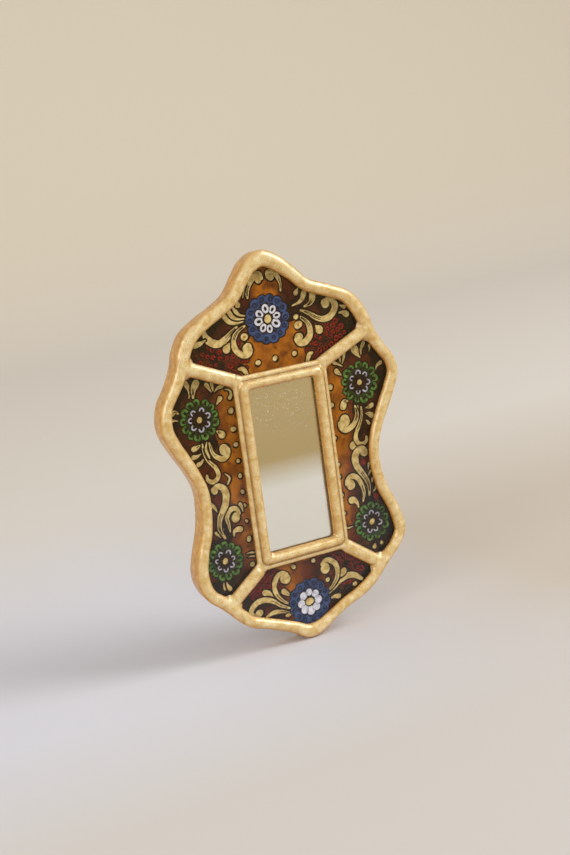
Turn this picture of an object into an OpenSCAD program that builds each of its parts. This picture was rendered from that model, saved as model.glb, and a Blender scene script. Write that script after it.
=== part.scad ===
// Small wall mirror with a gilded frame and panels of glass painted on the back.
// The face looks towards -Y, the wall is the plane y = 0, and z = 0 is the mirror's middle.
// Depths are measured back from the crest of the rim.

/* [Mirror] */
// Visible width of the mirror glass
sight_w = 30.4; // [26:0.2:34]
// Visible height of the mirror glass
sight_h = 68.4; // [60:0.2:72]
// Thickness of the mirror glass and of the painted glass
glass_t = 2; // [1.5:0.1:2.5]
// Thickness of the paint or silvering with its backing coat
coat_t = 0.2; // [0.1:0.05:0.3]

/* [Mirror frame] */
// Width of the high bead round the mirror
bead_w = 4.4; // [4:0.1:5]
// How far the high bead stands in front of the rim's crest
bead_proud = 0.5; // [0:0.1:1]
// Width of the low bead outside it
step_w = 2; // [1.6:0.1:2.4]
// Depth of the low bead's crest
step_d = 1.2; // [0.8:0.1:1.6]
// How far the frame laps over the mirror glass
mirror_lap = 1.8; // [1.2:0.1:2.2]
// How far the frame laps over the painted glass
panel_lap = 1.8; // [1.2:0.1:2.2]

/* [Rim] */
// Width over the widest points of an even outline
outline_w = 110; // [104:1:116]
// Height from the tip at the bottom to the peak at the top
outline_h = 163.6; // [158:0.2:170]
// Usual width of the rim's bead
rim_w = 5; // [4.8:0.1:5.4]
// Depth of the rim from crest to wall
rim_d = 10.6; // [10:0.2:13]
// Depth of the glass behind the crest, which is the height of the beads
glass_d = 2.4; // [2:0.1:3]
// How far the rim laps over the painted glass
rim_lap = 1.9; // [1.4:0.1:2.2]
// How far the rim's back edge is set in from its widest line
rim_draft = 0.9; // [0:0.1:1.2]
// Share of the sideways wander in the hand-cut outline, where 0 is an even outline
wander = 1; // [0:0.1:1.5]

/* [Spokes] */
// Width of a spoke's bead
spoke_w = 5.6; // [5:0.1:6.4]
// Depth of a spoke's crest
spoke_d = 0.3; // [0:0.1:0.8]
// Width of the tongue under a spoke, which parts two panels
tongue_w = 1.8; // [1.4:0.1:2.2]

/* [Board] */
// Thickness of the back board
board_t = 3; // [2.4:0.2:3.6]
// Gap round the glass and the board
fit_gap = 0.15; // [0.05:0.05:0.3]

/* [Hanger] */
// Distance of the ring's pivot below the rim's peak
hanger_drop = 35; // [31:1:41]
// Width of the strap
strap_w = 6; // [5:0.5:7]
// Length of the strap below the pivot
strap_len = 13; // [12:0.5:15]
// Thickness of the strap
strap_t = 0.6; // [0.4:0.1:0.8]
// Diameter of the ring's wire
wire_d = 1.2; // [1:0.1:1.4]
// Width of the ring between the middles of its sides
ring_w = 9.6; // [8.6:0.2:11]
// Length of the ring's straight sides
ring_side = 2.4; // [1.5:0.1:4]
// Running clearance between the ring and its knuckle
run_gap = 0.05; // [0.02:0.01:0.1]
// Diameter of a screw's head
head_d = 3.2; // [2.6:0.1:3.4]
// Height of a screw's head
head_h = 0.9; // [0.6:0.1:1.1]
// Diameter of a screw's shank
screw_d = 1.4; // [1.2:0.1:1.8]
// Length of a screw's shank
screw_len = 2.8; // [2.4:0.1:3]
// Distance of the first screw below the pivot
screw_first = 4; // [3.6:0.1:4.4]
// Distance between the screws
screw_step = 6.6; // [6.4:0.1:7]

/* [Pins] */
// Diameter of a pin that holds the board in the rim
pin_d = 0.9; // [0.7:0.1:1.2]
// Length of a pin
pin_len = 5; // [4:0.5:6]
// How far a pin is driven into the rim
pin_grip = 1; // [0.6:0.1:1.2]

/* [Hidden] */
$fn = 48;

gold = "goldenrod";
brass = "darkkhaki";

// Widest line of the rim from the top down, before it is stretched to size: half width, z,
// how much wider than usual the rim is there, and how far the pair of points stands to the right
half_line = [
    [0, 89, 2, -1.6], [7.3, 85.9, 1.4, -1.5], [13.3, 79.9, 0.8, -0.5], [18.3, 74.2, 0.4, 0.3],
    [25.8, 70.5, 0.4, 2], [33.5, 66.8, 0.6, 2.2], [40, 61.9, 1.2, 0.9], [44, 55, 1.2, 0.5],
    [45.8, 48.9, 0.8, 0.5], [49.3, 42.2, 0.2, 0.6], [53.5, 35.6, 0, 0.6], [55, 29, 0.2, 0.3],
    [53.6, 22.4, 0.4, -0.7], [49.8, 14.6, 0.4, -1.1], [45.4, 6.6, 0, -1.1], [42.4, -1.5, -0.4, -0.8],
    [42.3, -9.5, -0.2, -0.7], [43.9, -18, 0, -0.4], [46.9, -26, 0, 0.1], [49.1, -33.5, 0.4, 0.4],
    [49.2, -40.1, 0.4, 0.7], [45.4, -46.8, 0.2, 0], [39.2, -52.4, 0.4, -0.1], [33.3, -58.5, 0.2, -0.2],
    [27.1, -62.9, 0, -1], [18.5, -66.1, -0.2, -0.9], [10, -70.1, 0, 0], [4.5, -73.5, 0.8, -0.3],
    [0, -74.6, 1.2, -0.6]];
// Rings between two points of the line
line_steps = 2;
// Steps of a bead's rounding
bead_steps = 8;
// Long enough for a cutting line to pass beyond the whole outline
far = 300;
// How far the low bead runs in under the high one, and a spoke under the frame
low_overlap = 1;
spoke_bury = 3.8;
// Rings of the rim on each side of a spoke's end
cope_rings = 3;
// How much deeper than the real one a solid is that cuts a spoke's end
cope_sink = 0.3;

// How far in from the frame's corner a spoke starts, across and along the mirror, and where it
// meets the rim on the right side
spoke_top_in = [0.6, 1.2];
spoke_low_in = [0.3, 0.2];
spoke_top_end = [42.4, 49];
spoke_low_end = [34.2, -50];

coat_d = glass_d + glass_t;
board_d = coat_d + coat_t;
recess_d = board_d + board_t;
frame_w = bead_w + step_w;
tongue_out = frame_w - panel_lap;

stretch_x = outline_w / 2 / max([for (p = half_line) p[0]]);
stretch_z = outline_h / (half_line[0][1] - half_line[len(half_line) - 1][1]);
hanger_z = half_line[0][1] * stretch_z - hanger_drop;
corner = [sight_w / 2 + frame_w, sight_h / 2 + frame_w];
spoke_top_from = corner - spoke_top_in;
spoke_low_from = [corner[0] - spoke_low_in[0], spoke_low_in[1] - corner[1]];
spoke_top_to = [spoke_top_end[0] * stretch_x, spoke_top_end[1] * stretch_z];
spoke_low_to = [spoke_low_end[0] * stretch_x, spoke_low_end[1] * stretch_z];

wire_r = wire_d / 2;
bore_r = wire_r + run_gap;
knuckle_r = bore_r + strap_t;
pivot_y = knuckle_r;
ring_r = ring_w / 2;
ring_reach = ring_side + ring_r;
ring_lean = asin((pivot_y - wire_r - run_gap) / ring_reach);
// Gap round a screw, and between a pin and the board
close_gap = 0.04;
pilot_depth = screw_len;
slot_w = 0.5;
slot_d = 0.4;
// Points of the line where a pin stands, on both sides
pin_points = [4, 11, 19, 24];

// Y of a depth behind the rim's crest
function at(depth) = depth - rim_d;

// Curve through the points p1 and p2, with p0 and p3 beside them
function curve(p0, p1, p2, p3, t) =
    0.5 * (2 * p1 + (p2 - p0) * t + (2 * p0 - 5 * p1 + 4 * p2 - p3) * t * t
        + (3 * p1 - p0 - 3 * p2 + p3) * t * t * t);
// A point of the widest line on the right side, or on the left with a side of -1
function wandered(p, side) =
    [side * p[0] * stretch_x + wander * p[3], p[1] * stretch_z, rim_w + p[2]];

half_n = len(half_line) - 1;
full_line = [for (i = [0:2 * half_n - 1])
    i <= half_n ? wandered(half_line[i], 1) : wandered(half_line[2 * half_n - i], -1)];
points_n = len(full_line);
ring_n = points_n * line_steps;
line = [for (i = [0:points_n - 1], s = [0:line_steps - 1])
    curve(full_line[(i + points_n - 1) % points_n], full_line[i], full_line[(i + 1) % points_n],
        full_line[(i + 2) % points_n], s / line_steps)];

function unit(v) = v / norm(v);
// Direction at a ring of the line, and the direction inwards from it
function along(i) = let (a = line[(i + ring_n - 1) % ring_n], b = line[(i + 1) % ring_n])
    unit([b[0] - a[0], b[1] - a[1]]);
function inward(i) = [along(i)[1], -along(i)[0]];
function inset_point(i, inset) = [line[i][0], line[i][1]] + inset * inward(i);
// The pocket behind the rim's lip, which takes the glass and the board
function pocket(i, gap) = inset_point(i, line[i][2] - rim_lap + gap);
function pocket_line(gap) = [for (i = [0:ring_n - 1]) pocket(i, gap)];

// Rim section at one ring: inset from the widest line, and depth
function bead(width, height) = [for (k = [0:bead_steps])
    [width / 2 - width / 2 * cos(180 * k / bead_steps), height - height * sin(180 * k / bead_steps)]];
function rim_section(width) = concat(bead(width, glass_d),
    [[width - rim_lap, glass_d], [width - rim_lap, rim_d], [rim_draft, rim_d]]);
// The same front with a deeper back, to cut a spoke's end with
function cope_section(width) = concat(
    [[width - rim_lap, glass_d + cope_sink], [width - rim_lap, board_d + cope_sink],
        [-cope_sink, board_d + cope_sink], [-cope_sink, glass_d]],
    bead(width, glass_d), [[width, glass_d + cope_sink]]);
function placed(i, section) = [for (p = section)
    let (q = inset_point(i, p[0])) [q[0], at(p[1]), q[1]]];

// A solid through like sections, as a closed loop, or with ends that fan out from the first point
module sweep(sections, closed) {
    count = len(sections);
    n = len(sections[0]);
    sides = [for (i = [0:count - (closed ? 1 : 2)], k = [0:n - 1])
        let (a = i * n, b = (i + 1) % count * n, m = (k + 1) % n)
        for (f = [[a + k, b + m, a + m], [a + k, b + k, b + m]]) f];
    last = (count - 1) * n;
    ends = closed ? [] : [for (k = [1:n - 2]) for (f = [[0, k, k + 1], [last, last + k + 1, last + k]]) f];
    polyhedron(points = [for (s = sections, p = s) p], faces = concat(sides, ends));
}
module rim_solid() {
    sweep([for (i = [0:ring_n - 1]) placed(i, rim_section(line[i][2]))], true);
}
module rim_cope(first, last) {
    sweep([for (i = [first:last]) placed(i, cope_section(line[i][2]))], false);
}
// The ring of the line that is nearest to a place
function nearest(place) = let (gaps = [for (p = line) norm([p[0], p[1]] - place)], least = min(gaps))
    [for (i = [0:ring_n - 1]) if (gaps[i] == least) i][0];

// Stands an x-z drawing up and gives it a front depth and a thickness
module slab(depth, thickness) {
    translate([0, at(depth + thickness), 0])
        rotate([90, 0, 0]) linear_extrude(thickness) children();
}
// Turns a piece that stands along Z so that it runs from a place in a direction of the x-z plane
module run_from(place, angle) {
    translate([place[0], 0, place[1]]) rotate([0, 90 - angle, 0]) children();
}

// Rail section, outwards from the visible glass: the high bead, and the low bead where it shows
low_from = bead_w - low_overlap;
low_w = frame_w - low_from;
function high_depth(a) = a >= bead_w ? glass_d
    : glass_d - (glass_d + bead_proud) * sqrt(1 - pow(2 * a / bead_w - 1, 2));
function low_depth(a) = a <= low_from ? glass_d
    : glass_d - (glass_d - step_d) * sqrt(1 - pow(2 * (a - low_from) / low_w - 1, 2));
high_bead = [for (p = bead(bead_w, glass_d + bead_proud))
    if (p[1] - bead_proud <= low_depth(p[0]) || p[0] == 0) [p[0], p[1] - bead_proud]];
low_bead = [for (p = bead(low_w, glass_d - step_d))
    if (p[1] + step_d < high_depth(p[0] + low_from) || p[0] == low_w) [p[0] + low_from, p[1] + step_d]];
// Laps over the glass on both sides, and a tongue that stands on the board
rail_section = concat(high_bead, low_bead,
    [[tongue_out, glass_d], [tongue_out, board_d], [mirror_lap, board_d], [mirror_lap, glass_d]]);
// The same front with a deeper back, to cut a spoke's end with
rail_cope_section = concat(
    [[tongue_out, glass_d + cope_sink], [tongue_out, board_d + cope_sink], [0, board_d + cope_sink]],
    high_bead, low_bead, [[frame_w, glass_d + cope_sink]]);

// A mitred rail, drawn as the top one: half the distance between the rails, and half its length
module rail(across, length) {
    intersection() {
        translate([-length - frame_w, 0, 0]) rotate([90, 0, 90])
            linear_extrude(2 * (length + frame_w))
                polygon([for (p = rail_section) [at(p[1]), across + p[0]]]);
        slab(-rim_d, 3 * rim_d)
            polygon([[-length, across], [length, across],
                [length + frame_w, across + frame_w], [-length - frame_w, across + frame_w]]);
    }
}
module rail_at(turn) {
    upright = turn == 90 || turn == 270;
    rotate([0, turn, 0])
        rail((upright ? sight_w : sight_h) / 2, (upright ? sight_h : sight_w) / 2);
}
// The top right corner of the frame
module frame_cope() {
    sweep([
        [for (p = rail_cope_section) [sight_w / 2 + p[0], at(p[1]), 0]],
        [for (p = rail_cope_section) [sight_w / 2 + p[0], at(p[1]), sight_h / 2 + p[0]]],
        [for (p = rail_cope_section) [0, at(p[1]), sight_h / 2 + p[0]]]], false);
}

spoke_section = concat(
    [for (p = bead(spoke_w, glass_d - spoke_d)) [p[0] - spoke_w / 2, p[1] + spoke_d]],
    [[tongue_w / 2, glass_d], [tongue_w / 2, board_d], [-tongue_w / 2, board_d], [-tongue_w / 2, glass_d]]);
function bearing(from, to) = atan2(to[1] - from[1], to[0] - from[0]);
function flipped(p) = [-p[0], p[1]];

// A spoke, coped to the rim at one end and to the frame's corner at the other
module spoke(from, to) {
    start = from - spoke_bury * unit(to - from);
    meets = nearest(to);
    difference() {
        run_from(start, bearing(from, to)) linear_extrude(norm(to - start))
            polygon([for (p = spoke_section) [p[0], at(p[1])]]);
        rim_cope(meets - cope_rings, meets + cope_rings);
        mirror([from[0] < 0 ? 1 : 0, 0, 0]) mirror([0, 0, from[1] < 0 ? 1 : 0]) frame_cope();
    }
}

// The painted glass: the pocket's outline, less the frame's tongues and the spokes'
module strip(from, to) {
    translate(from) rotate(bearing(from, to))
        translate([-spoke_w, -tongue_w / 2 - fit_gap]) square([far, tongue_w + 2 * fit_gap]);
}
function beyond(from, to) = from + far * unit(to - from);
module panel(from_a, to_a, from_b, to_b) {
    difference() {
        intersection() {
            polygon(pocket_line(fit_gap));
            polygon([from_a, beyond(from_a, to_a), beyond(from_b, to_b), from_b]);
        }
        square([sight_w + 2 * (tongue_out + fit_gap), sight_h + 2 * (tongue_out + fit_gap)], center = true);
        strip(from_a, to_a);
        strip(from_b, to_b);
    }
}
module panel_top() {
    panel(flipped(spoke_top_from), flipped(spoke_top_to), spoke_top_from, spoke_top_to);
}
module panel_bottom() {
    panel(spoke_low_from, spoke_low_to, flipped(spoke_low_from), flipped(spoke_low_to));
}
module panel_right() {
    panel(spoke_top_from, spoke_top_to, spoke_low_from, spoke_low_to);
}
module panel_left() {
    panel(flipped(spoke_low_from), flipped(spoke_low_to), flipped(spoke_top_from), flipped(spoke_top_to));
}
module mirror_shape() {
    square([sight_w + 2 * (mirror_lap - fit_gap), sight_h + 2 * (mirror_lap - fit_gap)], center = true);
}

// Something that stands on the back of the board, with its axis towards the wall
module on_board(z, height) {
    translate([0, at(recess_d) + height, z]) rotate([90, 0, 0]) children();
}
screw_places = [hanger_z - screw_first, hanger_z - screw_first - screw_step];

module outer_rim() { color(gold) rim_solid(); }
module rail_top() { color(gold) rail_at(0); }
module rail_right() { color(gold) rail_at(90); }
module rail_bottom() { color(gold) rail_at(180); }
module rail_left() { color(gold) rail_at(270); }
module spoke_top_left() { color(gold) spoke(flipped(spoke_top_from), flipped(spoke_top_to)); }
module spoke_top_right() { color(gold) spoke(spoke_top_from, spoke_top_to); }
module spoke_bottom_left() { color(gold) spoke(flipped(spoke_low_from), flipped(spoke_low_to)); }
module spoke_bottom_right() { color(gold) spoke(spoke_low_from, spoke_low_to); }

module mirror_glass() { color("lightcyan") slab(glass_d, glass_t) mirror_shape(); }
module mirror_silvering() { color("silver") slab(coat_d, coat_t) mirror_shape(); }
module glass_top() { color("lightcyan") slab(glass_d, glass_t) panel_top(); }
module glass_bottom() { color("lightcyan") slab(glass_d, glass_t) panel_bottom(); }
module glass_left() { color("lightcyan") slab(glass_d, glass_t) panel_left(); }
module glass_right() { color("lightcyan") slab(glass_d, glass_t) panel_right(); }
module paint_top() { color("sienna") slab(coat_d, coat_t) panel_top(); }
module paint_bottom() { color("maroon") slab(coat_d, coat_t) panel_bottom(); }
module paint_left() { color("chocolate") slab(coat_d, coat_t) panel_left(); }
module paint_right() { color("chocolate") slab(coat_d, coat_t) panel_right(); }

module back_board() {
    color("burlywood") difference() {
        slab(board_d, board_t) polygon(pocket_line(fit_gap));
        for (z = screw_places)
            on_board(z, strap_t) cylinder(h = strap_t + pilot_depth, d = screw_d + 2 * close_gap);
    }
}

// Each pin lies on the board and is driven into the rim's wall
module board_pins() {
    color("gray") for (k = pin_points, i = [k, 2 * half_n - k] * line_steps)
        translate([0, at(recess_d) + pin_d / 2 + close_gap, 0])
            run_from(inset_point(i, line[i][2] - rim_lap - pin_grip), bearing([0, 0], inward(i)))
                cylinder(h = pin_len, d = pin_d);
}

module hanger_strap() {
    color(brass) difference() {
        union() {
            translate([-strap_w / 2, at(recess_d), hanger_z - strap_len])
                cube([strap_w, strap_t, strap_len - bore_r]);
            translate([-strap_w / 2, at(recess_d) + pivot_y, hanger_z])
                rotate([0, 90, 0]) cylinder(h = strap_w, r = knuckle_r);
        }
        translate([-strap_w, at(recess_d) + pivot_y, hanger_z])
            rotate([0, 90, 0]) cylinder(h = 2 * strap_w, r = bore_r);
        for (z = screw_places)
            on_board(z, 2 * strap_t) cylinder(h = 3 * strap_t, d = screw_d + 2 * close_gap);
    }
}

module hanger_screws() {
    color(brass) for (z = screw_places) {
        on_board(z, strap_t) cylinder(h = screw_len, d = screw_d);
        difference() {
            on_board(z, strap_t + head_h) cylinder(h = head_h, d1 = head_d - head_h, d2 = head_d);
            translate([-head_d, at(recess_d) + strap_t + head_h - slot_d, z - slot_w / 2])
                cube([2 * head_d, 2 * slot_d, slot_w]);
        }
    }
}

// The ring is stored upwards and leans on the board
module hanger_ring() {
    color(brass) translate([0, at(recess_d) + pivot_y, hanger_z]) rotate([ring_lean, 0, 0]) {
        translate([-ring_r, 0, 0]) rotate([0, 90, 0]) cylinder(h = ring_w, r = wire_r);
        for (side = [-1, 1]) {
            translate([side * ring_r, 0, 0]) sphere(r = wire_r);
            translate([side * ring_r, 0, 0]) cylinder(h = ring_side, r = wire_r);
        }
        translate([0, 0, ring_side]) rotate([90, 0, 0])
            rotate_extrude(angle = 180) translate([ring_r, 0]) circle(r = wire_r);
    }
}

outer_rim();
rail_top();
rail_bottom();
rail_left();
rail_right();
spoke_top_left();
spoke_top_right();
spoke_bottom_left();
spoke_bottom_right();
mirror_glass();
mirror_silvering();
glass_top();
glass_bottom();
glass_left();
glass_right();
paint_top();
paint_bottom();
paint_left();
paint_right();
back_board();
board_pins();
hanger_strap();
hanger_screws();
hanger_ring();
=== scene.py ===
import math
import random

import bmesh
import bpy
import numpy as np
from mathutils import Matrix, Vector, noise


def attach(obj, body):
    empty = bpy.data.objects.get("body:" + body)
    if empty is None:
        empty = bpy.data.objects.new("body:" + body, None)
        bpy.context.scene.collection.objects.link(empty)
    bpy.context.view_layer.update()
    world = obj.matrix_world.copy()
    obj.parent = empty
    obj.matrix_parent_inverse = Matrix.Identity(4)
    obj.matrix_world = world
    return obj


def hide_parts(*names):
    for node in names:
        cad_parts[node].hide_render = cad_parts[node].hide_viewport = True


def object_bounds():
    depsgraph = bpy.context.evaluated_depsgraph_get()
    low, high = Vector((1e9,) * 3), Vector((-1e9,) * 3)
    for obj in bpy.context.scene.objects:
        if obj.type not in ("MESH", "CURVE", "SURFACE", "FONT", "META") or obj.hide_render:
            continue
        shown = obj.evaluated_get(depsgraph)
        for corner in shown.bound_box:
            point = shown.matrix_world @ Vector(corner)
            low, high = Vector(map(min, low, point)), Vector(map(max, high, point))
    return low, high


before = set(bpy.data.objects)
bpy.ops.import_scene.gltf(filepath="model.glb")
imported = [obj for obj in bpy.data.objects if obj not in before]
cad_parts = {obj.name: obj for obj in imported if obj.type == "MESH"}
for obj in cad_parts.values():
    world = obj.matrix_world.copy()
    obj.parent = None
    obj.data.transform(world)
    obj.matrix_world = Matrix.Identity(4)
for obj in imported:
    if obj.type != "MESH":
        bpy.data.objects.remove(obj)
cad_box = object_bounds()

# Outer rim: one carved moulding of wood and gesso that runs round the whole edge. Its front is a
# soft bead, its side is a plain wall down to the board, and all of it is gilded and rubbed.
# Sizes here and below are in millimetres and turn into metres where a mesh is made.
mm = 0.001
rim_depth = 10.6
glass_depth = 2.4
rim_lap = 1.9
rim_draft = 0.9
foot_gap = 0.03
bead_points = 33
line_steps = 8
bead_shake, wall_shake, height_shake = 0.09, 0.13, 0.07
# How far the darkening reaches from the inner feet and from the back of the wall, and how dark it gets at
# the back: partly dirt, partly painted shade.
foot_reach, back_reach, back_share = 1, 1.5, 0.55
wall_shares = (0.2, 0.4, 0.6, 0.8, 0.93)
back_round, back_from, pocket_round = 0.15, 0.5, 0.3
bare_zone = 0.25
rim_line = [
    # half width, height, width of the rim there, shift of the pair to the right
    [0, 89, 7, -1.6], [7.3, 85.9, 6.4, -1.5], [13.3, 79.9, 5.8, -0.5], [18.3, 74.2, 5.4, 0.3],
    [25.8, 70.5, 5.4, 2], [33.5, 66.8, 5.6, 2.2], [40, 61.9, 6.2, 0.9], [44, 55, 6.2, 0.5],
    [45.8, 48.9, 5.8, 0.5], [49.3, 42.2, 5.2, 0.6], [53.5, 35.6, 5, 0.6], [55, 29, 5.2, 0.3],
    [53.6, 22.4, 5.4, -0.7], [49.8, 14.6, 5.4, -1.1], [45.4, 6.6, 5, -1.1], [42.4, -1.5, 4.6, -0.8],
    [42.3, -9.5, 4.8, -0.7], [43.9, -18, 5, -0.4], [46.9, -26, 5, 0.1], [49.1, -33.5, 5.4, 0.4],
    [49.2, -40.1, 5.4, 0.7], [45.4, -46.8, 5.2, 0], [39.2, -52.4, 5.4, -0.1], [33.3, -58.5, 5.2, -0.2],
    [27.1, -62.9, 5, -1], [18.5, -66.1, 4.8, -0.9], [10, -70.1, 5, 0], [4.5, -73.5, 5.8, -0.3],
    [0, -74.6, 6.2, -0.6]]


def colour(red, green, blue):
    """A colour as it looks, turned into the linear values that shaders take."""
    return [((c + 0.055) / 1.055) ** 2.4 if c > 0.04 else c / 12.92 for c in (red, green, blue)] + [1]


def smooth_path(points, steps, closed=False):
    """Points on a curve through the given rows."""
    rows = np.array(points, float)
    if closed:
        first, second, third = np.roll(rows, 1, 0), np.roll(rows, -1, 0), np.roll(rows, -2, 0)
        start = rows
    else:
        padded = np.vstack([2 * rows[0] - rows[1], rows, 2 * rows[-1] - rows[-2]])
        first, start, second, third = padded[:-3], padded[1:-2], padded[2:-1], padded[3:]
    spans = []
    for t in np.arange(steps) / steps:
        spans.append(0.5 * (2 * start + (second - first) * t
                            + (2 * first - 5 * start + 4 * second - third) * t * t
                            + (3 * start - first - 3 * second + third) * t ** 3))
    path = np.stack(spans, 1).reshape(-1, rows.shape[1])
    return path if closed else np.vstack([path, rows[-1]])


def waver(point, size, seed):
    """A soft hand-made unevenness from -1 to 1 that changes over the given size."""
    return noise.noise(Vector(point) / size + Vector((seed * 7.3, 0, 0)))


def patchy(amount, point, seed):
    """An amount of darkening, partly dirt and partly painted shade, that changes a little from place to
    place.
    """
    return amount * (0.75 + 0.25 * waver(point, 2, seed))


def set_values(mesh, **lists):
    """Gives each point of a mesh a number under each name."""
    for name, values in lists.items():
        mesh.attributes.new(name, "FLOAT", "POINT").data.foreach_set("value", values)


def add_object(name, data):
    """An object that is put into the scene."""
    made = bpy.data.objects.new(name, data)
    bpy.context.scene.collection.objects.link(made)
    return made


def add_piece(name, points, faces, foot=None, smooth=True):
    """A mesh from points in millimetres. The darkening list, where given, says how dark the gilding gets at
    a point near a bead's feet or in a groove, partly dirt and partly painted shade; front, which is worked
    out here, says how far the point faces the front and a little upwards, for the gilding's painted
    highlight and shade."""
    mesh = bpy.data.meshes.new(name)
    mesh.from_pydata([tuple(c * mm for c in p) for p in points], [], faces)
    if smooth:
        mesh.shade_smooth()
    if foot is not None:
        set_values(mesh, foot=foot, front=[0.25 * v.normal.z - v.normal.y for v in mesh.vertices])
    return add_object(name, mesh)


def tube_faces(rings, count, closed=False):
    """Faces of a tube made of rings with count points each. Its ends meet or get flat faces."""
    faces = []
    for ring in range(rings if closed else rings - 1):
        here, ahead = ring * count, (ring + 1) % rings * count
        faces += [(here + k, ahead + k, ahead + (k + 1) % count, here + (k + 1) % count)
                  for k in range(count)]
    if not closed:
        last = (rings - 1) * count
        faces += [tuple(range(count)), tuple(range(last + count - 1, last - 1, -1))]
    return faces


class Nodes:
    """A node tree whose nodes are made by short calls. A value is a number, a colour or a socket,
    and _ stands for a space in the name of an input."""

    def __init__(self, tree):
        self.tree = tree

    def give(self, socket, value):
        if isinstance(value, bpy.types.NodeSocket):
            self.tree.links.new(value, socket)
        else:
            socket.default_value = value

    def fill(self, node, **values):
        for name, value in values.items():
            self.give(node.inputs[name.replace("_", " ")], value)
        return node

    def add(self, kind, **values):
        return self.fill(self.tree.nodes.new(kind), **values)

    def made(self, kind, **values):
        """The first output of a new node."""
        return self.add(kind, **values).outputs[0]

    def math(self, operation, *values):
        node = self.add("ShaderNodeMath")
        node.operation = operation
        for socket, value in zip(node.inputs, values):
            self.give(socket, value)
        return node.outputs[0]


class Look(Nodes):
    """A material. Noise lies on Object coordinates and its scale is in cells per metre."""

    def __init__(self, name):
        self.material = bpy.data.materials.new(name)
        self.material.use_nodes = True
        super().__init__(self.material.node_tree)
        self.shader = self.tree.nodes["Principled BSDF"]
        self.place = self.add("ShaderNodeTexCoord").outputs["Object"]

    def shade(self, **values):
        self.fill(self.shader, **values)

    def along(self, axis):
        return self.add("ShaderNodeSeparateXYZ", Vector=self.place).outputs[axis]

    def attribute(self, name):
        node = self.add("ShaderNodeAttribute")
        node.attribute_name = name
        return node.outputs["Fac"]

    def noise(self, scale, detail, squash=None):
        place = self.place
        if squash:
            place = self.made("ShaderNodeMapping", Scale=squash, Vector=place)
        return self.add("ShaderNodeTexNoise", Scale=scale, Detail=detail, Vector=place).outputs["Fac"]

    def span(self, value, low, high, to_low=0, to_high=1):
        """The value stretched so that low to high becomes to_low to to_high."""
        return self.made("ShaderNodeMapRange", Value=value, From_Min=low, From_Max=high, To_Min=to_low,
                         To_Max=to_high)

    def patches(self, scale, detail, low, high, to_low=0, to_high=1, squash=None):
        """Noise that is stretched in the same way."""
        return self.span(self.noise(scale, detail, squash), low, high, to_low, to_high)

    def blend(self, share, first, second):
        """A mix of two colours, each as it looks or a socket."""
        node = self.add("ShaderNodeMix")
        node.data_type = "RGBA"
        self.give(node.inputs["Factor"], share)
        for socket, part in zip((node.inputs[6], node.inputs[7]), (first, second)):
            self.give(socket, colour(*part) if isinstance(part, tuple) else part)
        return node.outputs[2]

    def bumps(self, *rows):
        """Bumps laid over each other, each a strength, a depth in millimetres and its noise."""
        normal = None
        for strength, depth, scale, detail in rows:
            bump = self.add("ShaderNodeBump", Strength=strength, Distance=depth * mm,
                            Height=self.noise(scale, detail))
            if normal:
                self.fill(bump, Normal=normal)
            normal = bump.outputs["Normal"]
        self.shade(Normal=normal)


def gilding():
    """Metal leaf with painted light: paler where it faces the front and a little upwards and deeper on the
    sides, which stands partly for leaf rubbed on the crest and partly for painted highlight and shade; brown
    at the feet and in the groove, partly dirt and partly painted shade; and small brown specks."""
    look = Look("gilding")
    wear = look.patches(420, 6, 0.34, 0.66)
    pale = look.blend(wear, (0.98, 0.9, 0.69), (0.86, 0.71, 0.4))
    deep = look.blend(wear, (0.9, 0.66, 0.25), (0.74, 0.5, 0.15))
    # Painted highlight and shade: paler where the surface faces the front and up, deeper on the sides.
    leaf = look.blend(look.span(look.attribute("front"), 0.35, 1), deep, pale)
    # Brown at the feet and in the groove: partly dirt, partly painted shade.
    leaf = look.blend(look.attribute("foot"), leaf, (0.44, 0.25, 0.08))
    leaf = look.blend(look.patches(2400, 3, 0.5, 0.66, 0, 0.6), leaf, (0.74, 0.6, 0.36))
    leaf = look.blend(look.patches(900, 5, 0.7, 0.8, 0, 0.6), leaf, (0.56, 0.38, 0.19))
    look.shade(Base_Color=leaf, Metallic=0.15, Specular_IOR_Level=1,
               Roughness=look.patches(420, 3, 0.3, 0.7, 0.22, 0.36))
    look.bumps((0.6, 0.15, 330, 2), (0.4, 0.06, 2000, 3))
    return look.material


def bare_wood():
    """Pale sawn wood with brown streaks of the paint that ran over from the sides."""
    look = Look("bare_wood")
    grain = look.patches(700, 4, 0.35, 0.65, squash=(1, 1, 0.08))
    tone = look.blend(grain, (0.74, 0.57, 0.38), (0.6, 0.43, 0.27))
    tone = look.blend(look.patches(60, 3, 0.5, 0.7, 0, 0.7), tone, (0.42, 0.26, 0.15))
    look.shade(Base_Color=tone, Roughness=0.75)
    return look.material


gold = gilding()
rows = [[side * w + shift, z, width] for side, part in ((1, rim_line), (-1, rim_line[-2:0:-1]))
        for w, z, width, shift in part]
rim_path = smooth_path(rows, line_steps, closed=True)
ahead = np.roll(rim_path, -1, 0)[:, :2] - np.roll(rim_path, 1, 0)[:, :2]
ahead /= np.linalg.norm(ahead, axis=1)[:, None]
inward = np.stack([ahead[:, 1], -ahead[:, 0]], 1)


def rim_section(width):
    """Inset and depth of the rim's section, from the sight edge over the bead to the pocket."""
    turns = np.linspace(0, math.pi, bead_points)
    section = [[width / 2 + width / 2 * math.cos(a), glass_depth - glass_depth * math.sin(a)]
               for a in turns]
    section[0][1] -= foot_gap
    for share in wall_shares:
        section.append([rim_draft * share, glass_depth + (rim_depth - glass_depth) * share])
    section += [[rim_draft + back_round, rim_depth - back_round], [rim_draft + back_from, rim_depth]]
    pocket = width - rim_lap
    return section + [[pocket - pocket_round, rim_depth], [pocket, rim_depth - pocket_round],
                      [pocket, glass_depth - foot_gap]]


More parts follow.
